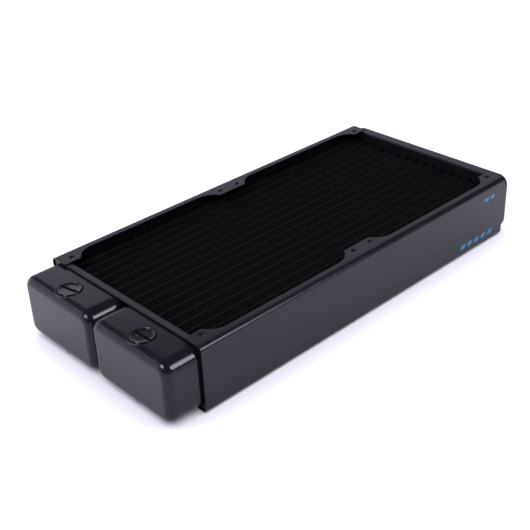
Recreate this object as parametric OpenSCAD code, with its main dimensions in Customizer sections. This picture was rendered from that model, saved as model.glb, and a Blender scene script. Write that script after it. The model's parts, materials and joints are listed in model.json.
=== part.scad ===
// Liquid cooling radiator for two 140 mm fans, with two port tanks at one end
// and a return tank at the other. Millimetres, +Z up, X along the radiator.
// The origin is below the middle of the whole object, on the surface that it stands on.

/* [Frame] */
// Length of the side frames
frame_l = 281; // [280:0.5:284]
// Width over the two side frames
frame_w = 144; // [143:0.5:146]
// Height of the side frames
frame_h = 45; // [44:0.5:50]
// Sheet thickness of the side frames
sheet_t = 1; // [0.8:0.1:1.2]
// Outer radius of the frame bends
bend_r = 3; // [2:0.5:4]
// Width of the flanges beside the fan openings
flange_w = 6.4; // [6:0.2:8]
// Depth of the tabs that carry the fan screws, from the outer face
tab_w = 14.2; // [14:0.2:17]

/* [Fans] */
// Screw hole spacing of one fan
fan_hole_pitch = 124.5; // [124.5]
// Distance between the screw holes of the two fans
fan_hole_gap = 15.5; // [15:0.5:17]
// Length of a fan opening
fan_open_l = 120; // [116:1:122]
// Corner radius of a fan opening
fan_open_r = 15; // [12:1:18]
// Bore of the M3 threads for the fan screws
screw_bore_d = 2.5; // [2.4:0.1:2.6]

/* [Core] */
// Number of flat tubes, half of them to each port tank
tube_count = 16; // [14:2:16]
// Distance between flat tubes
tube_pitch = 8.25; // [7.5:0.05:8.3]
// Thickness of a flat tube
tube_t = 2; // [1.6:0.1:2.4]
// Depth of the core, along Z
core_h = 31; // [26:1:32]
// Wall of a flat tube
tube_wall = 0.3; // [0.2:0.05:0.4]
// Length of one fold of the fins
fin_fold = 6.4; // [3.2:0.8:12.8]
// Sheet thickness of the fins
fin_t = 0.2; // [0.1:0.05:0.3]

/* [Tanks] */
// How far the port tanks stand out of the side frames
port_tank_out = 23.5; // [23:0.5:30]
// How far the return tank stands out of the side frames
return_tank_out = 8.5; // [7:0.5:14]
// Wall of the drawn tanks
tank_wall = 1.2; // [0.8:0.1:1.5]
// Radius of the tanks' four long corners
tank_corner_r = 8; // [6:0.5:9]
// Radius round the end face of the port tanks
port_tank_r = 5.5; // [4:0.5:6]
// Radius round the end face of the return tank
return_tank_r = 4.5; // [3:0.5:6]
// Gap between the two port tanks
tank_gap = 1; // [0.6:0.2:2]
// Length of the narrow neck between a port tank and the frame's end
neck_l = 1.5; // [1:0.5:3]

/* [Ports] */
// Bore of an open G1/4 thread
port_bore_d = 11.44; // [11.4:0.02:11.8]
// Outer diameter of the port bushes
bush_d = 17.6; // [17.2:0.2:18]
// Length of the port bushes
bush_l = 10; // [9:0.5:12]
// Diameter of a plug's head
plug_head_d = 15; // [14.8:0.1:15.6]
// Height of a plug's head
plug_head_h = 1.6; // [1.4:0.1:2.4]
// Turn of the inlet plug's screwdriver slot from the Y axis
inlet_slot_turn = 2; // [-90:1:90]
// Turn of the outlet plug's screwdriver slot from the Y axis
outlet_slot_turn = 11; // [-90:1:90]

/* [Hidden] */
$fn = 48;
// Cuts reach this far past the faces that they open
over = 1;

frame_x = (port_tank_out - return_tank_out) / 2;
frame_x0 = frame_x - frame_l / 2;
frame_x1 = frame_x + frame_l / 2;
top_z = frame_h;
flange_in_y = frame_w / 2 - flange_w;
tab_in_y = frame_w / 2 - tab_w;

fan_dx = (fan_hole_pitch + fan_hole_gap) / 2;
fan_open_w = 2 * flange_in_y;
collar_h = 1.6;
collar_d = 4.4;
sink_d = 4;
sink_h = 0.5;

// Header plates: a tray that fits between the side frames
header_t = 1.5;
header_rim_t = 0.8;
header_w = frame_w - 2 * sheet_t;
header_h = frame_h - 2 * sheet_t;
header_l = 4;
port_header_in = 0.9;
port_header_l = 5;
header_r = 3;
return_rim_l = 0.5;

// The return tank is soldered against its header's short rim
return_tank_w = header_w - 0.2;
return_tank_h = header_h - 1.2;

// The port tanks fit inside the header's rim
port_header_x = frame_x0 + port_header_in + port_header_l;
tank_w = header_w - 2 * header_rim_t;
tank_h = header_h - 2 * header_rim_t;
tank_z0 = (frame_h - tank_h) / 2;
tank_z1 = tank_z0 + tank_h;
neck_in = 0.6;
port_tank_w = (tank_w - tank_gap) / 2;
port_tank_y = (tank_gap + port_tank_w) / 2;
port_shift_x = 1;
port_shift_y = 1.7;
port_x = frame_x0 - port_tank_out / 2 - port_shift_x;

fin_h = tube_pitch - tube_t;
tube_stick_out = 1.5;
tube_l = frame_l - 2 * (header_l - header_t - tube_stick_out);
fin_end_gap = 2.5;
fin_l = frame_l - 2 * (header_l + fin_end_gap);
fold_count = floor(fin_l / fin_fold);
core_z0 = (frame_h - core_h) / 2;

// G1/4 plug in its own bush: the thread is a plain running fit
thread_d = 13.1;
thread_clearance = 0.07;
thread_l = 7;
neck_d = 11.2;
seal_wire_d = 1.2;
seal_mid_d = 12.8;
seat_d = 16.2;
seat_h = 2.4;
head_gap = 0.1;
head_z = head_gap + seal_wire_d - seat_h;
slot_w = 2;
slot_h = 1.1;
head_chamfer = 0.4;

paint = [0.07, 0.07, 0.08];
core_paint = [0.03, 0.03, 0.035];
brass = [0.72, 0.56, 0.3];
plug_black = [0.05, 0.05, 0.055];
rubber = [0.02, 0.02, 0.02];

function port_y(side) = side * port_tank_y - port_shift_y;
function two_digits(i) = str(i < 10 ? "0" : "", i);
TUBES = [for (i = [1:tube_count]) str("flat_tube_", two_digits(i))];
FINS = [for (i = [1:tube_count + 1]) str("fin_strip_", two_digits(i))];

// ---------- shared shapes ----------

// Rectangle with round corners, centred
module round_rect(w, h, r) {
    square([w - 2 * r, h], center = true);
    square([w, h - 2 * r], center = true);
    for (sx = [-1, 1], sy = [-1, 1])
        translate([sx * (w / 2 - r), sy * (h / 2 - r)])
            circle(r);
}

// Extrudes a YZ outline along +X from x
module along_x(x, l) {
    translate([x, 0, 0])
        rotate([90, 0, 90])
            linear_extrude(l)
                children();
}

// Block with round long corners and a round -X end: x0..x1, centred on y, z0..z1
module drawn_block(x0, x1, y, w, z0, z1, corner_r, r) {
    l = x1 - x0;
    h = z1 - z0;
    intersection() {
        along_x(x0, l)
            translate([y, (z0 + z1) / 2])
                round_rect(w, h, corner_r);
        translate([x0 + l, y, z0])
            linear_extrude(h)
                round_rect(2 * l, w, r);
        translate([x0 + l, y + w / 2, (z0 + z1) / 2])
            rotate([90, 0, 0])
                linear_extrude(w)
                    round_rect(2 * l, h, r);
    }
}

// Flat tube section with round noses, as a YZ outline
module tube_outline(t, h) {
    square([t, h - t], center = true);
    for (s = [-1, 1])
        translate([0, s * (h - t) / 2])
            circle(t / 2);
}

function tube_y(i) = (i - (tube_count - 1) / 2) * tube_pitch;
function fin_y(i) = (i - tube_count / 2) * tube_pitch;

// ---------- side frames ----------

// C-section of the rear frame, as a YZ outline
module frame_outline() {
    y_mid = (frame_w / 2 + tab_in_y) / 2;
    intersection() {
        translate([0, frame_h / 2])
            difference() {
                round_rect(frame_w, frame_h, bend_r);
                round_rect(frame_w - 2 * sheet_t, frame_h - 2 * sheet_t, bend_r - sheet_t);
            }
        translate([y_mid, frame_h / 2])
            square([tab_w, frame_h + 2 * over], center = true);
    }
}

// Collars and bores for the fan screws of one flange face
module screw_sites() {
    for (fan = [-1, 1], end = [-1, 1])
        translate([frame_x + fan * fan_dx + end * fan_hole_pitch / 2, fan_hole_pitch / 2, 0])
            children();
}

module side_frame_rear_solid() {
    difference() {
        union() {
            difference() {
                along_x(frame_x0, frame_l)
                    frame_outline();
                for (fan = [-1, 1])
                    translate([frame_x + fan * fan_dx, 0, -over])
                        linear_extrude(frame_h + 2 * over)
                            round_rect(fan_open_l, fan_open_w, fan_open_r);
            }
            screw_sites() {
                translate([0, 0, top_z - sheet_t - collar_h])
                    cylinder(d = collar_d, h = collar_h + sheet_t / 2);
            }
            screw_sites() {
                translate([0, 0, sheet_t / 2])
                    cylinder(d = collar_d, h = collar_h + sheet_t / 2);
            }
        }
        screw_sites() {
            translate([0, 0, -over])
                cylinder(d = screw_bore_d, h = frame_h + 2 * over);
        }
        screw_sites() {
            translate([0, 0, top_z - sink_h])
                cylinder(d1 = screw_bore_d, d2 = sink_d, h = sink_h);
        }
        screw_sites() {
            cylinder(d1 = sink_d, d2 = screw_bore_d, h = sink_h);
        }
    }
}

module side_frame_rear() {
    color(paint)
        side_frame_rear_solid();
}

module side_frame_front() {
    color(paint)
        mirror([0, 1, 0])
            side_frame_rear_solid();
}

// ---------- header plates ----------

// Tray with its floor towards the core and a slot for each tube; the rim points to -X
module header_solid(x_core, rim_l, recess_w, recess_h) {
    x_floor = x_core - header_t;
    x_rim = x_floor - rim_l;
    difference() {
        along_x(x_rim, rim_l + header_t)
            translate([0, frame_h / 2])
                round_rect(header_w, header_h, header_r);
        along_x(x_rim - over, rim_l + over)
            translate([0, frame_h / 2])
                round_rect(recess_w, recess_h, tank_corner_r);
        for (i = [0:tube_count - 1])
            along_x(x_floor - over, header_t + 2 * over)
                translate([tube_y(i), frame_h / 2])
                    tube_outline(tube_t, core_h);
    }
}

module header_port_end() {
    color(paint)
        header_solid(port_header_x, port_header_l - header_t, tank_w, tank_h);
}

module header_return_end() {
    color(paint)
        translate([2 * frame_x, 0, 0])
            mirror([1, 0, 0])
                header_solid(frame_x0 + header_l, return_rim_l, return_tank_w - 2 * tank_wall, return_tank_h - 2 * tank_wall);
}

// ---------- tanks ----------

// Port tank: drawn shell with a narrow neck that stands on the header's floor
module port_tank_solid(side) {
    y = side * port_tank_y;
    x0 = frame_x0 - port_tank_out;
    x_neck = frame_x0 - neck_l;
    x_mouth = port_header_x - header_t;
    difference() {
        union() {
            drawn_block(x0, x_neck, y, port_tank_w, tank_z0, tank_z1, tank_corner_r, port_tank_r);
            along_x(x_neck - tank_wall, x_mouth - x_neck + tank_wall)
                translate([y, frame_h / 2])
                    round_rect(port_tank_w - 2 * neck_in, tank_h - 2 * neck_in, tank_corner_r - neck_in);
        }
        drawn_block(x0 + tank_wall, x_neck - tank_wall, y, port_tank_w - 2 * tank_wall,
                    tank_z0 + tank_wall, tank_z1 - tank_wall, tank_corner_r - tank_wall, port_tank_r - tank_wall);
        along_x(x_neck - 2 * tank_wall, x_mouth - x_neck + 2 * tank_wall + over)
            translate([y, frame_h / 2])
                round_rect(port_tank_w - 2 * (neck_in + tank_wall), tank_h - 2 * (neck_in + tank_wall),
                           tank_corner_r - neck_in - tank_wall);
        translate([port_x, port_y(side), -over])
            cylinder(d = bush_d, h = frame_h + 2 * over);
    }
}

module inlet_tank() {
    color(paint)
        port_tank_solid(-1);
}

module outlet_tank() {
    color(paint)
        port_tank_solid(1);
}

// Return tank: shallow drawn shell over the whole width
module return_tank() {
    l = return_tank_out + header_l - header_t - return_rim_l;
    z0 = (frame_h - return_tank_h) / 2;
    z1 = z0 + return_tank_h;
    color(paint)
        translate([frame_x1 + return_tank_out, 0, 0])
            mirror([1, 0, 0])
                difference() {
                    drawn_block(0, l, 0, return_tank_w, z0, z1, tank_corner_r, return_tank_r);
                    drawn_block(tank_wall, l + over, 0, return_tank_w - 2 * tank_wall, z0 + tank_wall,
                                z1 - tank_wall, tank_corner_r - tank_wall, return_tank_r - tank_wall);
                }
}

// ---------- core ----------

module flat_tube(i) {
    color(core_paint)
        along_x(frame_x - tube_l / 2, tube_l)
            translate([tube_y(i), frame_h / 2])
                difference() {
                    tube_outline(tube_t, core_h);
                    tube_outline(tube_t - 2 * tube_wall, core_h - 2 * tube_wall);
                }
}

// Folded sheet between two tubes: crests touch the tubes with small flats
module fin_strip(i) {
    n = 2 * fold_count;
    step = fin_fold / 2;
    x0 = -n * step / 2;
    rise = 1.5 * fin_t;
    upper = [for (k = [0:n]) each k % 2 == 0
        ? [[x0 + k * step, rise - fin_h / 2]]
        : [[x0 + k * step - fin_t / 2, fin_h / 2], [x0 + k * step + fin_t / 2, fin_h / 2]]];
    lower = [for (k = [n:-1:0]) each k % 2 == 0
        ? [[x0 + k * step + fin_t / 2, -fin_h / 2], [x0 + k * step - fin_t / 2, -fin_h / 2]]
        : [[x0 + k * step, fin_h / 2 - rise]]];
    color(core_paint)
        translate([frame_x, fin_y(i), core_z0])
            linear_extrude(core_h)
                polygon(concat(upper, lower));
}

// ---------- ports ----------

// Bush for a plug: a smooth running bore stands for the engaged thread
module top_bush_solid(side) {
    translate([port_x, port_y(side), tank_z1 - bush_l])
        difference() {
            cylinder(d = bush_d, h = bush_l);
            translate([0, 0, -over])
                cylinder(d = thread_d + 2 * thread_clearance, h = bush_l + 2 * over);
            translate([0, 0, bush_l - seat_h])
                cylinder(d = seat_d, h = seat_h + over);
        }
}

module top_bush_inlet() {
    color(brass)
        top_bush_solid(-1);
}

module top_bush_outlet() {
    color(brass)
        top_bush_solid(1);
}

// Open G1/4 port, its mouth downwards
module bottom_bush_solid(side) {
    mouth_h = 0.8;
    translate([port_x, port_y(side), tank_z0])
        difference() {
            cylinder(d = bush_d, h = bush_l);
            translate([0, 0, -over])
                cylinder(d = port_bore_d, h = bush_l + 2 * over);
            cylinder(d1 = port_bore_d + 2 * mouth_h, d2 = port_bore_d, h = mouth_h);
        }
}

module bottom_bush_inlet() {
    color(brass)
        bottom_bush_solid(-1);
}

module bottom_bush_outlet() {
    color(brass)
        bottom_bush_solid(1);
}

// Slotted plug; its head stands just above the bush's face
module plug_solid(side, slot_turn) {
    translate([port_x, port_y(side), tank_z1])
        difference() {
            union() {
                translate([0, 0, head_z])
                    cylinder(d = plug_head_d, h = plug_head_h - head_chamfer);
                translate([0, 0, head_z + plug_head_h - head_chamfer])
                    cylinder(d1 = plug_head_d, d2 = plug_head_d - 2 * head_chamfer, h = head_chamfer);
                translate([0, 0, -seat_h - over])
                    cylinder(d = neck_d, h = over + seal_wire_d + 2 * head_gap);
                translate([0, 0, -seat_h - thread_l])
                    cylinder(d = thread_d, h = thread_l - head_gap);
            }
            translate([0, 0, head_z + plug_head_h - slot_h / 2 + over / 2])
                rotate([0, 0, slot_turn])
                    cube([slot_w, plug_head_d + over, slot_h + over], center = true);
        }
}

module plug_inlet() {
    color(plug_black)
        plug_solid(-1, inlet_slot_turn);
}

module plug_outlet() {
    color(plug_black)
        plug_solid(1, outlet_slot_turn);
}

// O-ring under a plug's head
module plug_seal_solid(side) {
    translate([port_x, port_y(side), tank_z1 - seat_h + seal_wire_d / 2])
        rotate_extrude()
            translate([seal_mid_d / 2, 0])
                circle(d = seal_wire_d);
}

module plug_seal_inlet() {
    color(rubber)
        plug_seal_solid(-1);
}

module plug_seal_outlet() {
    color(rubber)
        plug_seal_solid(1);
}

// ---------- drawing ----------

side_frame_front();
side_frame_rear();
header_port_end();
header_return_end();
inlet_tank();
outlet_tank();
return_tank();
top_bush_inlet();
top_bush_outlet();
bottom_bush_inlet();
bottom_bush_outlet();
plug_inlet();
plug_outlet();
plug_seal_inlet();
plug_seal_outlet();
for (i = [0:tube_count - 1])
    flat_tube(i);
for (i = [0:tube_count])
    fin_strip(i);
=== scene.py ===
import json
import math

import bmesh
import bpy
from mathutils import Matrix, Vector


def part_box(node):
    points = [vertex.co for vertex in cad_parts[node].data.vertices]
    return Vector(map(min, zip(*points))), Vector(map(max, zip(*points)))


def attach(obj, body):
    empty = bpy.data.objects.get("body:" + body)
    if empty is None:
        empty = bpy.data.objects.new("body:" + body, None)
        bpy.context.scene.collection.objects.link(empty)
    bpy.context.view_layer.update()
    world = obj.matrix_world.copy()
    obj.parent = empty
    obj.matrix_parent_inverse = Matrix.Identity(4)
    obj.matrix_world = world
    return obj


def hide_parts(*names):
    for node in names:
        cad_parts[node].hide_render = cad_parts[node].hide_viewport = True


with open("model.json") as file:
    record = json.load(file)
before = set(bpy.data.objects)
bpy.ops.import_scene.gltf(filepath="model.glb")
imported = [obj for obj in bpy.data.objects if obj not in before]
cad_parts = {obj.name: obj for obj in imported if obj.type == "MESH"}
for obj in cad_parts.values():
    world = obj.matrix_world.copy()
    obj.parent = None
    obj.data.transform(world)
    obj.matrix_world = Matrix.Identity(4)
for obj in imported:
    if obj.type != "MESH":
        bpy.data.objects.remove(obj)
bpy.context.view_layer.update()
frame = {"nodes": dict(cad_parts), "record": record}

# Straight after load, this is the CAD model's box
MM = 0.001
BODY = "radiator"

# ---------- sizes that the frame gives ----------

FRAME_LO, FRAME_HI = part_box("side_frame_rear")
FRONT_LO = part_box("side_frame_front")[0]
X0, X1 = FRAME_LO.x, FRAME_HI.x
FRAME_X = (X0 + X1) / 2
HALF_W = FRAME_HI.y
TOP = FRAME_HI.z
TAB_Y = FRAME_LO.y
TUBE_NODES = sorted(n for n in frame["nodes"] if n.startswith("flat_tube_"))
FIN_NODES = sorted(n for n in frame["nodes"] if n.startswith("fin_strip_"))
MOUNTS = {m["name"]: m for m in frame["record"]["mounts"]}

# ---------- sizes that match the CAD model's own ----------

SHEET = 1.0 * MM
BEND_R = 3.0 * MM
FLANGE_W = 6.4 * MM
FAN_OPEN_L = 120 * MM
FAN_OPEN_R = 15 * MM
FAN_PITCH = MOUNTS["fan_top_port_end"]["dims"]["spacing_x_mm"] * MM
SCREW_R = MOUNTS["fan_top_port_end"]["dims"]["hole_r_mm"] * MM
FAN_CENTRES = [MOUNTS["fan_top_port_end"]["pos_m"][0], MOUNTS["fan_top_return_end"]["pos_m"][0]]
COLLAR_R = 2.2 * MM
COLLAR_H = 1.6 * MM
HEADER_FLOOR = 1.5 * MM
HEADER_RIM = 0.8 * MM
HEADER_R = 3.0 * MM
TANK_WALL = 1.2 * MM
TANK_CORNER_R = 8.0 * MM
PORT_TANK_R = 5.5 * MM
RETURN_TANK_R = 4.5 * MM
NECK_L = 1.5 * MM
NECK_IN = 0.6 * MM
BUSH_R = 8.8 * MM
SEAT_R = 8.1 * MM
SEAT_H = 2.4 * MM
SHANK_BORE_R = 6.62 * MM
THREAD_PITCH = 1.337 * MM
THREAD_MINOR = 5.72 * MM
THREAD_MAJOR = 6.55 * MM
HEAD_H = 1.6 * MM
SLOT_W = 2.0 * MM
SLOT_H = 1.1 * MM

# ---------- sizes that only this model has ----------

# The photo's countersinks look wider and deeper than the CAD model's
SINK_R = 2.3 * MM
SINK_H = 0.6 * MM
# Rounding of the header trays' folds, and the height of each step in the port end's top
HEADER_BEND = 1.0 * MM
HEADER_STEP = 0.2 * MM
# Turn of each plug's slot away from the Y axis, in degrees
INLET_SLOT_TURN = 2
OUTLET_SLOT_TURN = 11
# How far a cutter reaches past what it cuts
CUT_REACH = 6 * MM
# Most of a noise texture's values lie between these two
NOISE_LOW, NOISE_HIGH = 0.3, 0.7
# Black lacquer reflects a little cooler than the room
SHEEN_TINT = (0.88, 0.84, 1.0, 1.0)


# ---------- materials ----------

def new_material(name):
    """Material with its nodes, its links and its Principled shader."""
    mat = bpy.data.materials.new(name)
    mat.use_nodes = True
    nodes = mat.node_tree.nodes
    return mat, nodes, mat.node_tree.links, nodes["Principled BSDF"]


def add_noise(nodes, links, coords, scale, detail=3.0):
    """Noise in the object's own coordinates."""
    noise = nodes.new("ShaderNodeTexNoise")
    noise.inputs["Scale"].default_value = scale
    noise.inputs["Detail"].default_value = detail
    links.new(coords.outputs["Object"], noise.inputs["Vector"])
    return noise


def add_ramp(nodes, links, source, low, high):
    """Noise turned into a colour between low and high."""
    ramp = nodes.new("ShaderNodeValToRGB")
    first, last = ramp.color_ramp.elements
    first.position, last.position = NOISE_LOW, NOISE_HIGH
    first.color, last.color = (*low, 1), (*high, 1)
    links.new(source.outputs["Fac"], ramp.inputs["Fac"])
    return ramp


def add_range(nodes, links, source, low, high):
    """Noise turned into a number between low and high."""
    spread = nodes.new("ShaderNodeMapRange")
    spread.inputs["From Min"].default_value = NOISE_LOW
    spread.inputs["From Max"].default_value = NOISE_HIGH
    spread.inputs["To Min"].default_value = low
    spread.inputs["To Max"].default_value = high
    links.new(source.outputs["Fac"], spread.inputs["Value"])
    return spread


def scaled(colour, k):
    """The colour, k times as bright."""
    return tuple(c * k for c in colour)


def paint(name, colour, rough, peel=0.05, peel_scale=900, coat=0.0, specular=0.27):
    """Sprayed finish: slow colour drift, roughness that varies, and an orange-peel bump."""
    mat, nodes, links, bsdf = new_material(name)
    coords = nodes.new("ShaderNodeTexCoord")
    drift = add_noise(nodes, links, coords, 30)
    tint = add_ramp(nodes, links, drift, scaled(colour, 0.9), scaled(colour, 1.12))
    links.new(tint.outputs["Color"], bsdf.inputs["Base Color"])
    cloud = add_noise(nodes, links, coords, 120, 4)
    gloss = add_range(nodes, links, cloud, rough * 0.9, rough * 1.12)
    links.new(gloss.outputs["Result"], bsdf.inputs["Roughness"])
    grain = add_noise(nodes, links, coords, peel_scale, 2)
    bump = nodes.new("ShaderNodeBump")
    bump.inputs["Strength"].default_value = peel
    bump.inputs["Distance"].default_value = 0.1 * MM
    links.new(grain.outputs["Fac"], bump.inputs["Height"])
    links.new(bump.outputs["Normal"], bsdf.inputs["Normal"])
    bsdf.inputs["Coat Weight"].default_value = coat
    bsdf.inputs["Coat Roughness"].default_value = 0.08
    bsdf.inputs["Specular IOR Level"].default_value = specular
    bsdf.inputs["Specular Tint"].default_value = SHEEN_TINT
    return mat


FRAME_PAINT = paint("frame_powder_coat", (0.006, 0.0055, 0.008), 0.26, 0.06, 1100, specular=0.28)
HEADER_PAINT = paint("header_paint", (0.008, 0.0075, 0.0102), 0.26, 0.05, specular=0.18)
TANK_PAINT = paint("tank_gloss_paint", (0.006, 0.0055, 0.008), 0.2, 0.05, 700, coat=0.05, specular=0.225)
# The core's matte black is set darker than the frame's black, and the tubes darker still than the fins:
# painted shade for the deep, recessed core, on top of the paint's own black
TUBE_PAINT_AND_SHADE = paint("tube_matte_paint_and_shade", (0.0024, 0.0024, 0.0027), 0.6, 0.15, 1500, specular=0.05)
FIN_PAINT_AND_SHADE = paint("fin_matte_paint_and_shade", (0.0047, 0.0047, 0.0052), 0.6, 0.15, 1500, specular=0.08)
BUSH_PAINT = paint("bush_paint", (0.007, 0.0065, 0.009), 0.22, 0.05)
PLUG_BLACK = paint("plug_black_nickel", (0.006, 0.0058, 0.0064), 0.1, 0.03, 600, specular=0.42)
# Darker, duller copy of the plugs' black for the slots' walls and floor: painted shade inside the slot
SLOT_PAINTED_SHADE = paint("slot_painted_shade", (0.003, 0.003, 0.003), 0.6, 0.1, 900, specular=0.05)
SEAL_RUBBER = paint("seal_rubber", (0.012, 0.012, 0.012), 0.6, 0.1, 1500)
MARK_BLUE = paint("mark_blue_print", (0.035, 0.155, 0.3), 0.35, 0.05, specular=0.2)


# ---------- mesh helpers ----------

def make_piece(name, verts, faces, material, smooth_deg=35):
    """Object from plain verts and faces, smooth except at edges sharper than smooth_deg."""
    mesh = bpy.data.meshes.new(name)
    mesh.from_pydata([tuple(v) for v in verts], [], faces)
    mesh.validate()
    bm = bmesh.new()
    bm.from_mesh(mesh)
    bmesh.ops.recalc_face_normals(bm, faces=bm.faces)
    bm.to_mesh(mesh)
    bm.free()
    mesh.polygons.foreach_set("use_smooth", [True] * len(mesh.polygons))
    mesh.set_sharp_from_angle(angle=math.radians(smooth_deg))
    obj = bpy.data.objects.new(name, mesh)
    bpy.context.scene.collection.objects.link(obj)
    mesh.materials.append(material)
    return obj


def apply_modifiers(obj):
    """Makes what the modifiers show into the object's own mesh."""
    depsgraph = bpy.context.evaluated_depsgraph_get()
    mesh = bpy.data.meshes.new_from_object(obj.evaluated_get(depsgraph))
    old = obj.data
    obj.modifiers.clear()
    obj.data = mesh
    mesh.name = obj.name
    bpy.data.meshes.remove(old)


def cut(obj, cutter):
    """Takes the cutter's shape out of obj, and deletes the cutter."""
    mod = obj.modifiers.new("cut", "BOOLEAN")
    mod.operation = "DIFFERENCE"
    mod.solver = "EXACT"
    mod.object = cutter
    apply_modifiers(obj)
    bpy.data.objects.remove(cutter)


def soften(obj, width, segments=2, angle=40):
    """Small round on every sharp edge."""
    mod = obj.modifiers.new("edge", "BEVEL")
    mod.width = width
    mod.segments = segments
    mod.limit_method = "ANGLE"
    mod.angle_limit = math.radians(angle)
    mod.harden_normals = False
    apply_modifiers(obj)


def finish_shading(obj, smooth_deg=35):
    """Shades flat areas flat and rounds smooth, up to sharp edges."""
    mesh = obj.data
    mesh.polygons.foreach_set("use_smooth", [True] * len(mesh.polygons))
    mesh.set_sharp_from_angle(angle=math.radians(smooth_deg))
    mod = obj.modifiers.new("normals", "WEIGHTED_NORMAL")
    mod.keep_sharp = True
    mod.weight = 80


def loft(rings, close_ends=True):
    """Verts and faces through closed rings of equal length."""
    n = len(rings[0])
    verts = [p for ring in rings for p in ring]
    faces = []
    for k in range(len(rings) - 1):
        for i in range(n):
            j = (i + 1) % n
            faces.append((k * n + i, k * n + j, (k + 1) * n + j, (k + 1) * n + i))
    if close_ends:
        faces.append(tuple(range(n)))
        faces.append(tuple((len(rings) - 1) * n + i for i in range(n)))
    return verts, faces


def closed_loft(rings):
    """Loft whose last ring joins the first."""
    verts, faces = loft(rings, close_ends=False)
    n = len(rings[0])
    last = (len(rings) - 1) * n
    for i in range(n):
        j = (i + 1) % n
        faces.append((last + i, last + j, j, i))
    return verts, faces


def merge(parts):
    """One verts and faces pair from several."""
    verts, faces = [], []
    for part_verts, part_faces in parts:
        base = len(verts)
        verts += part_verts
        faces += [tuple(base + i for i in f) for f in part_faces]
    return verts, faces


def lathe(profile, centre, steps=96):
    """Closed (r, z) outline turned about the vertical axis through centre."""
    rings = []
    for k in range(steps):
        a = 2 * math.pi * k / steps
        rings.append([(centre[0] + r * math.cos(a), centre[1] + r * math.sin(a), centre[2] + z)
                      for r, z in profile])
    return closed_loft(rings)


def solid_lathe(profile, centre, steps=96):
    """(r, z) line from the axis to the axis, bottom to top, turned into a solid."""
    x, y, z0 = centre
    verts = [(x, y, z0 + profile[0][1])]
    for r, z in profile[1:-1]:
        for k in range(steps):
            a = 2 * math.pi * k / steps
            verts.append((x + r * math.cos(a), y + r * math.sin(a), z0 + z))
    verts.append((x, y, z0 + profile[-1][1]))
    rows = len(profile) - 2
    top = len(verts) - 1
    faces = []
    for k in range(steps):
        j = (k + 1) % steps
        faces.append((0, 1 + j, 1 + k))
        for row in range(rows - 1):
            a = 1 + row * steps
            b = a + steps
            faces.append((a + k, a + j, b + j, b + k))
        base = 1 + (rows - 1) * steps
        faces.append((base + k, base + j, top))
    return verts, faces


def round_rect(y, z, w, h, r, steps=8):
    """YZ points round a rectangle with round corners."""
    points = []
    for sy, sz, start in ((1, 1, 0), (-1, 1, 90), (-1, -1, 180), (1, -1, 270)):
        for k in range(steps + 1):
            a = math.radians(start + 90 * k / steps)
            points.append((y + sy * (w / 2 - r) + r * math.cos(a), z + sz * (h / 2 - r) + r * math.sin(a)))
    return points


def ring_at(x, points):
    """YZ points stood up at x."""
    return [(x, y, z) for y, z in points]


def box_solid(lo, hi):
    """Verts and faces of a box, the shape of the plugs' slot cutter."""
    corners = [(x, y, z) for z in (lo[2], hi[2]) for x, y in
               ((lo[0], lo[1]), (hi[0], lo[1]), (hi[0], hi[1]), (lo[0], hi[1]))]
    faces = [(3, 2, 1, 0), (4, 5, 6, 7), (0, 1, 5, 4), (1, 2, 6, 5), (2, 3, 7, 6), (3, 0, 4, 7)]
    return corners, faces


def place(obj, body, slot, *nodes):
    """Gives a piece its body and hides the CAD nodes that it stands for; slot is not used."""
    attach(obj, body)
    if nodes:
        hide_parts(*nodes)
    return obj


# ---------- side frames ----------

def flange_edge(x):
    """Distance of the flange's inner edge from the middle plane, at x."""
    full = HALF_W - FLANGE_W
    for centre in FAN_CENTRES:
        u = FAN_OPEN_L / 2 - abs(x - centre)
        if u >= FAN_OPEN_R:
            return full
        if u > 0:
            drop = math.sqrt(FAN_OPEN_R ** 2 - (FAN_OPEN_R - u) ** 2)
            return max(TAB_Y, full - FAN_OPEN_R + drop)
    return TAB_Y


def frame_stations():
    """X stations: close together round the corners of the fan openings."""
    full = HALF_W - FLANGE_W
    start = math.asin((TAB_Y - (full - FAN_OPEN_R)) / FAN_OPEN_R)
    stations = {X0, X1, FRAME_X}
    steps = 18
    straight_gap = 12 * MM
    for centre in FAN_CENTRES:
        for side in (-1, 1):
            corner = centre + side * (FAN_OPEN_L / 2 - FAN_OPEN_R)
            for k in range(steps + 1):
                a = start + (math.pi / 2 - start) * k / steps
                stations.add(corner + side * FAN_OPEN_R * math.cos(a))
        for k in range(-3, 4):
            stations.add(centre + k * straight_gap)
    return sorted(stations)


def frame_paths(y_in):
    """Outer and inner (y, z) paths of the rear frame's section, from the lower lip to the upper."""
    steps = 8
    flat_y = HALF_W - BEND_R - 1.5 * MM
    outer = [(y_in, 0.0), (flat_y, 0.0)]
    inner = [(y_in, SHEET), (flat_y, SHEET)]
    for base, z in ((-90, BEND_R), (0, TOP - BEND_R)):
        for k in range(steps + 1):
            a = math.radians(base + 90 * k / steps)
            c, s = math.cos(a), math.sin(a)
            outer.append((HALF_W - BEND_R + BEND_R * c, z + BEND_R * s))
            inner.append((HALF_W - BEND_R + (BEND_R - SHEET) * c, z + (BEND_R - SHEET) * s))
    outer += [(flat_y, TOP), (y_in, TOP)]
    inner += [(flat_y, TOP - SHEET), (y_in, TOP - SHEET)]
    return outer, inner


def frame_shell(side):
    """C-section swept along X, with the tabs and fan openings in its flanges."""
    rings = []
    for x in frame_stations():
        outer, inner = frame_paths(flange_edge(x))
        rings.append([(x, side * y, z) for y, z in outer + inner[::-1]])
    verts, faces = loft(rings, close_ends=False)
    n = len(rings[0])
    for base in (0, (len(rings) - 1) * n):
        for i in range(n // 2 - 1):
            faces.append((base + i, base + i + 1, base + n - 2 - i, base + n - 1 - i))
    return verts, faces


def screw_points(side):
    """The (x, y) of one frame's screw holes."""
    return [(c + e * FAN_PITCH / 2, side * FAN_PITCH / 2) for c in FAN_CENTRES for e in (-1, 1)]


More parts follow.
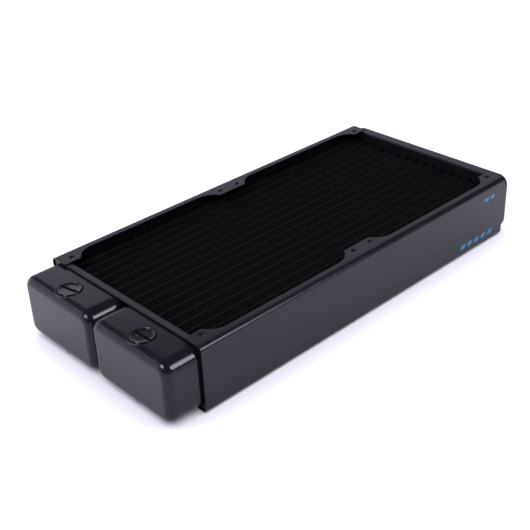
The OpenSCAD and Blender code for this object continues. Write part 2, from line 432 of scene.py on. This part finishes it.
def screw_cutter(side):
    """All of one frame's holes, each with its countersink, as one cutter."""
    parts = []
    over = 1 * MM
    flare = (SINK_R - SCREW_R) / SINK_H
    for x, y in screw_points(side):
        profile = [(0, TOP - CUT_REACH), (SCREW_R, TOP - CUT_REACH), (SCREW_R, TOP - SINK_H),
                   (SINK_R + over * flare, TOP + over), (0, TOP + over)]
        parts.append(solid_lathe(profile, (x, y, 0), 40))
        parts.append(solid_lathe([(r, TOP - z) for r, z in reversed(profile)], (x, y, 0), 40))
    verts, faces = merge(parts)
    return make_piece("cutter", verts, faces, FRAME_PAINT)


def screw_collars(side):
    """Drawn collars under the flanges, with a thread ridge inside."""
    parts = []
    ridge = 0.12 * MM
    turns = 5
    for x, y in screw_points(side):
        z_low = TOP - SHEET - COLLAR_H
        inside = []
        for k in range(2 * turns + 1):
            z = COLLAR_H * k / (2 * turns)
            inside.append((SCREW_R + (ridge if k % 2 else 0), z))
        profile = inside + [(COLLAR_R + 0.3 * MM, COLLAR_H + 0.05 * MM), (COLLAR_R, COLLAR_H - 0.4 * MM),
                            (COLLAR_R, 0.25 * MM), (COLLAR_R - 0.25 * MM, 0)]
        parts.append(lathe(profile, (x, y, z_low), 40))
        parts.append(lathe([(r, COLLAR_H - z) for r, z in profile], (x, y, SHEET), 40))
    return merge(parts)


def side_frame(name, side):
    """One folded frame with its holes and collars; side is 1 at the rear, -1 in front."""
    verts, faces = frame_shell(side)
    obj = make_piece(name, verts, faces, FRAME_PAINT)
    soften(obj, 0.18 * MM)
    cut(obj, screw_cutter(side))
    collars = make_piece(name + "_collars", *screw_collars(side), FRAME_PAINT)
    bm = bmesh.new()
    bm.from_mesh(obj.data)
    bm.from_mesh(collars.data)
    bm.to_mesh(obj.data)
    bm.free()
    bpy.data.objects.remove(collars)
    finish_shading(obj)
    return obj


place(side_frame("frame_panel_rear", 1), BODY, "frame_paint", "side_frame_rear")
place(side_frame("frame_panel_front", -1), BODY, "frame_paint", "side_frame_front")


# ---------- header plates ----------

def header_tray(name, node, rim_side, step=0.0):
    """Folded tray; rim_side is -1 where the rim points to -X, step is the height of its top's two steps."""
    lo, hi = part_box(node)
    w, h, y, z = hi.y - lo.y, hi.z - lo.z, (lo.y + hi.y) / 2, (lo.z + hi.z) / 2
    rim_x, core_x = (lo.x, hi.x) if rim_side < 0 else (hi.x, lo.x)
    inward = -rim_side
    floor_x = core_x - inward * HEADER_FLOOR
    edge = 0.4 * MM
    inside = round_rect(y, z, w - 2 * HEADER_RIM, h - 2 * HEADER_RIM, TANK_CORNER_R)
    rings = [ring_at(floor_x, inside), ring_at(rim_x, inside)]
    for k in range(4):
        a = math.radians(30 * k)
        inset = edge * (1 - math.sin(a))
        rings.append(ring_at(rim_x + inward * edge * (1 - math.cos(a)),
                             round_rect(y, z, w - 2 * inset, h - 2 * inset, HEADER_R - inset)))
    width = abs(core_x - rim_x)
    for share, drop in ((0.2, 0), (0.32, step), (0.52, step), (0.6, 2 * step)):
        if step:
            rings.append(ring_at(rim_x + inward * share * width,
                                 round_rect(y, z, w - 2 * drop, h - 2 * drop, HEADER_R - drop)))
    steps = 6
    for k in range(steps + 1):
        a = math.radians(90 * k / steps)
        inset = 2 * step + HEADER_BEND * (1 - math.cos(a))
        x = core_x - inward * HEADER_BEND * (1 - math.sin(a))
        rings.append(ring_at(x, round_rect(y, z, w - 2 * inset, h - 2 * inset, HEADER_R - inset)))
    obj = make_piece(name, *loft(rings), HEADER_PAINT)
    cutters = []
    for tube in TUBE_NODES:
        t_lo, t_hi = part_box(tube)
        ty, tz, tt, th = (t_lo.y + t_hi.y) / 2, (t_lo.z + t_hi.z) / 2, t_hi.y - t_lo.y, t_hi.z - t_lo.z
        outline = round_rect(ty, tz, tt, th, tt / 2 * 0.999, 5)
        cutters.append(loft([ring_at(core_x - CUT_REACH, outline), ring_at(core_x + CUT_REACH, outline)]))
    cut(obj, make_piece("cutter", *merge(cutters), HEADER_PAINT))
    finish_shading(obj)
    return obj


place(header_tray("header_plate_ports", "header_port_end", -1, HEADER_STEP), BODY, "header_paint",
      "header_port_end")
place(header_tray("header_plate_return", "header_return_end", 1), BODY, "header_paint", "header_return_end")


# ---------- tanks ----------

def drawn_rings(x_end, inward, y, z, w, h, r, x_far, grow=0.0):
    """Rings from the closed end's face to x_far, with round edges; grow insets the wall."""
    rings = []
    steps = 10
    edge = r - grow
    corner = TANK_CORNER_R - grow
    for k in range(steps + 1):
        a = math.radians(90 * k / steps)
        inset = edge * (1 - math.sin(a))
        x = x_end + inward * (grow + edge * (1 - math.cos(a)))
        shrink = 2 * (grow + inset)
        rings.append(ring_at(x, round_rect(y, z, w - shrink, h - shrink, corner - inset)))
    rings.append(ring_at(x_far, round_rect(y, z, w - 2 * grow, h - 2 * grow, corner)))
    return rings


def port_tank(name, node, top_node):
    """Hollow drawn box with a narrower neck inside the header, and a hole for its upper bush."""
    lo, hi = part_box(node)
    y, z, w, h = (lo.y + hi.y) / 2, (lo.z + hi.z) / 2, hi.y - lo.y, hi.z - lo.z
    x_neck = X0 - NECK_L
    outer = drawn_rings(lo.x, 1, y, z, w, h, PORT_TANK_R, x_neck - NECK_IN)
    for k in (1, 2, 3):
        a = math.radians(30 * k)
        inset = NECK_IN * (1 - math.cos(a))
        outer.append(ring_at(x_neck - NECK_IN + NECK_IN * math.sin(a),
                             round_rect(y, z, w - 2 * inset, h - 2 * inset, TANK_CORNER_R - inset)))
    neck = round_rect(y, z, w - 2 * NECK_IN, h - 2 * NECK_IN, TANK_CORNER_R - NECK_IN)
    outer += [ring_at(x_neck, neck), ring_at(hi.x, neck)]
    neck_wall = NECK_IN + TANK_WALL
    inner = drawn_rings(lo.x, 1, y, z, w, h, PORT_TANK_R, x_neck - TANK_WALL, TANK_WALL)
    neck_in = round_rect(y, z, w - 2 * neck_wall, h - 2 * neck_wall, TANK_CORNER_R - neck_wall)
    inner += [ring_at(x_neck - TANK_WALL, neck_in), ring_at(hi.x, neck_in)]
    obj = make_piece(name, *loft(outer + inner[::-1]), TANK_PAINT)
    b_lo, b_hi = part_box(top_node)
    cx, cy = (b_lo.x + b_hi.x) / 2, (b_lo.y + b_hi.y) / 2
    hole = [(0, -CUT_REACH), (BUSH_R, -CUT_REACH), (BUSH_R, TOP + CUT_REACH), (0, TOP + CUT_REACH)]
    cut(obj, make_piece("cutter", *solid_lathe(hole, (cx, cy, 0)), TANK_PAINT))
    finish_shading(obj)
    return obj


def return_tank(name, node):
    """Shallow drawn tank with a rounded mouth, over the whole width."""
    lo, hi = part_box(node)
    y, z, w, h = (lo.y + hi.y) / 2, (lo.z + hi.z) / 2, hi.y - lo.y, hi.z - lo.z
    lip = 0.7 * MM
    outer = drawn_rings(hi.x, -1, y, z, w, h, RETURN_TANK_R, lo.x + lip)
    for k in (1, 2, 3):
        a = math.radians(30 * k)
        inset = lip * (1 - math.cos(a))
        outer.append(ring_at(lo.x + lip * (1 - math.sin(a)),
                             round_rect(y, z, w - 2 * inset, h - 2 * inset, TANK_CORNER_R - inset)))
    inner = drawn_rings(hi.x, -1, y, z, w, h, RETURN_TANK_R, lo.x, TANK_WALL)
    obj = make_piece(name, *loft(outer + inner[::-1]), TANK_PAINT)
    finish_shading(obj)
    return obj


place(port_tank("tank_inlet", "inlet_tank", "top_bush_inlet"), BODY, "tank_paint", "inlet_tank")
place(port_tank("tank_outlet", "outlet_tank", "top_bush_outlet"), BODY, "tank_paint", "outlet_tank")
place(return_tank("tank_return", "return_tank"), BODY, "tank_paint", "return_tank")


# ---------- core ----------

FIN_FOLD = 3.2 * MM
FIN_SHEET = 0.12 * MM


def fin_line(lo, hi, offset):
    """One edge of the folded sheet, as (x, y): straight walls joined by round crests."""
    y_mid = (lo.y + hi.y) / 2
    half = (hi.y - lo.y) / 2
    crest = FIN_FOLD / 4
    folds = int((hi.x - lo.x) / FIN_FOLD)
    start = (lo.x + hi.x) / 2 - folds * FIN_FOLD / 2
    steps = 4
    line = []
    for k in range(2 * folds):
        side = 1 if k % 2 else -1
        radius = crest - side * offset
        x = start + (k + 0.5) * FIN_FOLD / 2
        y = y_mid + side * (half - crest)
        for i in range(steps + 1):
            a = math.pi * i / steps
            line.append((x - radius * math.cos(a), y + side * radius * math.sin(a)))
    return line


def fin_strip(name, node):
    """Folded sheet between two tubes."""
    lo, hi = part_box(node)
    one = fin_line(lo, hi, 0)
    other = fin_line(lo, hi, FIN_SHEET)
    n = len(one)
    verts = []
    for z in (lo.z, hi.z):
        verts += [(x, y, z) for x, y in one] + [(x, y, z) for x, y in other]
    faces = []
    for i in range(n - 1):
        faces.append((i, i + 1, 2 * n + i + 1, 2 * n + i))
        faces.append((n + i, n + i + 1, 3 * n + i + 1, 3 * n + i))
        faces.append((i, i + 1, n + i + 1, n + i))
        faces.append((2 * n + i, 2 * n + i + 1, 3 * n + i + 1, 3 * n + i))
    faces.append((0, n, 3 * n, 2 * n))
    faces.append((n - 1, 2 * n - 1, 4 * n - 1, 3 * n - 1))
    return make_piece(name, verts, faces, FIN_PAINT_AND_SHADE, 50)


# Fins and tubes get the core paints, which hold painted shade for the recessed core
for fin_node in FIN_NODES:
    place(fin_strip(fin_node.replace("fin_strip", "fine_fins"), fin_node), BODY, "fin_paint", fin_node)
for tube_node in TUBE_NODES:
    frame["nodes"][tube_node].data.materials.clear()
    frame["nodes"][tube_node].data.materials.append(TUBE_PAINT_AND_SHADE)


# ---------- ports ----------

def thread_wave(t):
    """Height of a rounded 55-degree thread, 0 to 1, over one turn's phase."""
    t = t % 1.0
    return min(1.0, max(0.0, 2.4 * abs(2 * t - 1) - 0.7))


def thread_rings(centre, r_low, r_high, z0, z1, steps=64, per_turn=10):
    """Rings of a right-handed helical thread between z0 and z1."""
    rows = int((z1 - z0) / THREAD_PITCH * per_turn)
    rings = []
    for k in range(rows + 1):
        z = z0 + (z1 - z0) * k / rows
        fade = min(1.0, k / 6, (rows - k) / 6)
        ring = []
        for i in range(steps):
            a = 2 * math.pi * i / steps
            wave = thread_wave(z / THREAD_PITCH - i / steps)
            r = r_low + (r_high - r_low) * wave * fade
            ring.append((centre[0] + r * math.cos(a), centre[1] + r * math.sin(a), centre[2] + z))
        rings.append(ring)
    return rings


def circle_ring(centre, r, z, steps=64):
    """Level circle, z above centre."""
    return [(centre[0] + r * math.cos(2 * math.pi * i / steps),
             centre[1] + r * math.sin(2 * math.pi * i / steps), centre[2] + z) for i in range(steps)]


def open_port(name, node):
    """Bush with a real thread inside and its mouth downwards."""
    lo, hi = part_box(node)
    centre = ((lo.x + hi.x) / 2, (lo.y + hi.y) / 2, lo.z)
    length = hi.z - lo.z
    mouth = 0.8 * MM
    edge = 0.2 * MM
    rings = [circle_ring(centre, THREAD_MINOR + mouth, 0)]
    rings += thread_rings(centre, THREAD_MINOR, THREAD_MAJOR, mouth, length - 0.3 * MM)
    rings += [circle_ring(centre, r, at_z) for r, at_z in (
        (THREAD_MINOR + 0.3 * MM, length), (BUSH_R - edge, length), (BUSH_R, length - edge),
        (BUSH_R, edge), (BUSH_R - edge, 0))]
    obj = make_piece(name, *closed_loft(rings), BUSH_PAINT, 40)
    finish_shading(obj, 40)
    return obj


def plug_bush(name, node):
    """Bush for a plug: a recess with a chamfered mouth, and a plain running bore."""
    lo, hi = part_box(node)
    centre = ((lo.x + hi.x) / 2, (lo.y + hi.y) / 2, lo.z)
    length = hi.z - lo.z
    edge = 0.25 * MM
    fillet = 0.3 * MM
    floor = length - SEAT_H
    profile = [(SHANK_BORE_R, edge), (SHANK_BORE_R, floor - fillet), (SHANK_BORE_R + fillet, floor),
               (SEAT_R - fillet, floor), (SEAT_R - 0.3 * fillet, floor + 0.3 * fillet),
               (SEAT_R, floor + fillet), (SEAT_R, length - 0.6 * edge), (SEAT_R + 0.6 * edge, length),
               (BUSH_R - 0.3 * edge, length), (BUSH_R, length - 0.3 * edge),
               (BUSH_R, edge), (BUSH_R - edge, 0), (SHANK_BORE_R + edge, 0)]
    obj = make_piece(name, *lathe(profile, centre), BUSH_PAINT, 40)
    finish_shading(obj, 40)
    return obj


def screw_plug(name, node, turn_deg):
    """Slotted plug: rounded rim, flat face sunk inside it, slot, neck for the O-ring and a helical thread."""
    lo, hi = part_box(node)
    centre = ((lo.x + hi.x) / 2, (lo.y + hi.y) / 2, lo.z)
    height = hi.z - lo.z
    head_r = (hi.x - lo.x) / 2
    thread_top = 6.9 * MM
    neck_r = 5.6 * MM
    point = 0.6 * MM
    under = height - HEAD_H
    edge = 0.15 * MM
    rings = [circle_ring(centre, THREAD_MINOR - point, 0)]
    rings += thread_rings(centre, THREAD_MINOR, THREAD_MAJOR, point, thread_top)
    rings += [circle_ring(centre, neck_r, thread_top + 0.05 * MM), circle_ring(centre, neck_r, under)]
    rings += [circle_ring(centre, head_r - edge, under), circle_ring(centre, head_r, under + edge)]
    rim = 0.6 * MM
    for k in range(5):
        a = math.radians(90 * k / 4)
        rings.append(circle_ring(centre, head_r - rim * (1 - math.cos(a)), height - rim + rim * math.sin(a)))
    face_drop = 0.55 * MM
    slope = 0.75 * MM
    for inward, drop in ((0.1 * MM, 0.02 * MM), (0.3 * MM, 0.15 * MM), (0.55 * MM, 0.45 * MM)):
        rings.append(circle_ring(centre, head_r - rim - inward, height - drop))
    for r in (head_r - rim - slope, head_r * 0.5, head_r * 0.02):
        rings.append(circle_ring(centre, r, height - face_drop))
    obj = make_piece(name, *loft(rings), PLUG_BLACK, 40)
    half = SLOT_W / 2
    slot = box_solid((-half, -head_r * 1.2, height - SLOT_H), (half, head_r * 1.2, height + 2 * MM))
    turn = Matrix.Rotation(math.radians(turn_deg), 3, "Z")
    slot_verts = [tuple(turn @ Vector(v) + Vector(centre)) for v in slot[0]]
    cut(obj, make_piece("cutter", slot_verts, slot[1], PLUG_BLACK))
    soften(obj, 0.1 * MM, 2, 50)
    # Faces inside the slot get the darker material: painted shade in the slot
    obj.data.materials.append(SLOT_PAINTED_SHADE)
    for face in obj.data.polygons:
        local = turn.inverted() @ (face.center - Vector(centre))
        across = abs(local.x) < half + 0.02 * MM and abs(local.y) < head_r - 0.1 * MM
        if across and height - SLOT_H - 0.05 * MM < local.z < height - 0.15 * MM:
            face.material_index = len(obj.data.materials) - 1
    finish_shading(obj, 40)
    return obj


place(open_port("port_thread_inlet", "bottom_bush_inlet"), BODY, "bush_paint", "bottom_bush_inlet")
place(open_port("port_thread_outlet", "bottom_bush_outlet"), BODY, "bush_paint", "bottom_bush_outlet")
place(screw_plug("screw_plug_inlet", "plug_inlet", INLET_SLOT_TURN), "inlet_plug", "plug_black", "plug_inlet")
place(screw_plug("screw_plug_outlet", "plug_outlet", OUTLET_SLOT_TURN), "outlet_plug", "plug_black",
      "plug_outlet")
place(plug_bush("plug_bush_inlet", "top_bush_inlet"), BODY, "bush_paint", "top_bush_inlet")
place(plug_bush("plug_bush_outlet", "top_bush_outlet"), BODY, "bush_paint", "top_bush_outlet")
for seal_node in ("plug_seal_inlet", "plug_seal_outlet"):
    frame["nodes"][seal_node].data.materials.clear()
    frame["nodes"][seal_node].data.materials.append(SEAL_RUBBER)


# ---------- generic blue marks ----------

def mark_bars(x_from, x_to, z_from, z_to, count, gap, lean):
    """Row of slanted bars, printed on the front face."""
    parts = []
    y0, y1 = FRONT_LO.y + 0.02 * MM, FRONT_LO.y - 0.04 * MM
    width = (x_to - x_from - gap * (count - 1)) / count
    for k in range(count):
        x = x_from + k * (width + gap)
        corners = [(x, z_from), (x + width - lean, z_from), (x + width, z_to), (x + lean, z_to)]
        parts.append(loft([[(px, y0, pz) for px, pz in corners], [(px, y1, pz) for px, pz in corners]]))
    return merge(parts)


MARK_GAP = 1.6 * MM
MARK_END = FRAME_X + 129 * MM
marks = merge([mark_bars(FRAME_X + 92 * MM, MARK_END, 6 * MM, 9.6 * MM, 5, MARK_GAP, 1.2 * MM),
               mark_bars(FRAME_X + 117 * MM, MARK_END, 34 * MM, 36.6 * MM, 2, MARK_GAP, 0.9 * MM)])
place(make_piece("mark_print", *marks, MARK_BLUE), BODY, "frame_paint")


# ---------- floor, light and camera ----------

def make_floor():
    """Round pale floor, far wider than the picture."""
    bpy.ops.mesh.primitive_circle_add(vertices=96, radius=6, fill_type="NGON", location=(0, 0, 0))
    floor = bpy.context.object
    floor.name = "studio_floor"
    mat, nodes, links, bsdf = new_material("floor_white")
    coords = nodes.new("ShaderNodeTexCoord")
    drift = add_noise(nodes, links, coords, 3)
    tint = add_ramp(nodes, links, drift, (0.86, 0.87, 0.9), (0.88, 0.89, 0.92))
    links.new(tint.outputs["Color"], bsdf.inputs["Base Color"])
    bsdf.inputs["Roughness"].default_value = 0.9
    bsdf.inputs["Specular IOR Level"].default_value = 0.1
    floor.data.materials.append(mat)


def make_light(name, place_at, target, size_x, size_y, power, colour, glossy=True, diffuse=True):
    """Area light at place_at, turned to target; glossy and diffuse say what it lights."""
    data = bpy.data.lights.new(name, "AREA")
    data.shape = "RECTANGLE"
    data.size = size_x
    data.size_y = size_y
    data.energy = power
    data.color = colour
    lamp = bpy.data.objects.new(name, data)
    lamp.location = place_at
    lamp.rotation_euler = (Vector(target) - Vector(place_at)).to_track_quat("-Z", "Y").to_euler()
    lamp.visible_glossy = glossy
    lamp.visible_diffuse = diffuse
    bpy.context.scene.collection.objects.link(lamp)


def make_direction_factor(nodes, links, source, from_low, from_high, low, high):
    """Factor that goes from low to high as one part of the direction goes from from_low to from_high."""
    factor = nodes.new("ShaderNodeMapRange")
    factor.inputs["From Min"].default_value = from_low
    factor.inputs["From Max"].default_value = from_high
    factor.inputs["To Min"].default_value = low
    factor.inputs["To Max"].default_value = high
    links.new(source, factor.inputs["Value"])
    return factor


def make_world():
    """Room for the reflections: bright at the horizon, dark overhead, brighter at the rear and left."""
    world = bpy.data.worlds.new("studio_world")
    bpy.context.scene.world = world
    world.use_nodes = True
    nodes, links = world.node_tree.nodes, world.node_tree.links
    coords = nodes.new("ShaderNodeTexCoord")
    split = nodes.new("ShaderNodeSeparateXYZ")
    links.new(coords.outputs["Generated"], split.inputs["Vector"])
    ramp = nodes.new("ShaderNodeValToRGB")
    stops = ramp.color_ramp.elements
    stops[0].position = 0.0
    stops[0].color = (0.8, 0.79, 0.87, 1)
    stops[1].position = 1.0
    stops[1].color = (0.05, 0.05, 0.055, 1)
    for at, level in ((0.36, 0.4), (0.44, 0.52), (0.48, 0.98), (0.515, 1.0), (0.545, 0.16), (0.6, 0.06)):
        stops.new(at).color = (level * 0.99, level * 0.97, level * 1.09, 1)
    links.new(split.outputs["Z"], ramp.inputs["Fac"])
    rear = make_direction_factor(nodes, links, split.outputs["Y"], -0.1, 0.8, 0.1, 1.5)
    left = make_direction_factor(nodes, links, split.outputs["X"], -0.3, 0.1, 2.0, 1.0)
    both = nodes.new("ShaderNodeMath")
    both.operation = "MULTIPLY"
    links.new(rear.outputs["Result"], both.inputs[0])
    links.new(left.outputs["Result"], both.inputs[1])
    links.new(ramp.outputs["Color"], nodes["Background"].inputs["Color"])
    links.new(both.outputs["Value"], nodes["Background"].inputs["Strength"])


def make_camera():
    """Camera at the photographed angle, placed from the middle and the top of the side frames."""
    azimuth, elevation, roll = (math.radians(a) for a in (-42.41, 30.71, -2.62))
    back = Vector((math.sin(azimuth) * math.cos(elevation), -math.cos(azimuth) * math.cos(elevation),
                   math.sin(elevation)))
    right = Vector((math.cos(azimuth), math.sin(azimuth), 0))
    up = back.cross(right)
    right, up = (math.cos(roll) * right + math.sin(roll) * up,
                 math.cos(roll) * up - math.sin(roll) * right)
    data = bpy.data.cameras.new("photo_camera")
    data.sensor_width = 36
    data.lens = 66.63
    data.clip_start = 0.01
    camera = bpy.data.objects.new("photo_camera", data)
    spot = Vector((FRAME_X - 402.92 * MM, -413.14 * MM, TOP + 304.84 * MM))
    camera.matrix_world = Matrix.Translation(spot) @ Matrix((right, up, back)).transposed().to_4x4()
    bpy.context.scene.collection.objects.link(camera)
    bpy.context.scene.camera = camera


COOL_WHITE = (0.93, 0.92, 1.0)
WHITE = (1.0, 1.0, 1.0)
make_floor()
# The overhead light only lights; the two softboxes only show as gleams on the tanks' upper edges
make_light("overhead_fill", (0.1, -0.35, 3.0), (0, 0, 0), 8, 8, 485, COOL_WHITE, glossy=False)
make_light("edge_softbox", (0.39, -0.96, 0.65), (-0.146, -0.07, 0.04), 0.3, 0.6, 10.5, WHITE, diffuse=False)
make_light("side_softbox", (-0.95, 0.0, 0.8), (-0.146, -0.03, 0.04), 0.5, 0.45, 12, WHITE, diffuse=False)
make_world()
make_camera()
bpy.context.scene.view_settings.view_transform = "Standard"
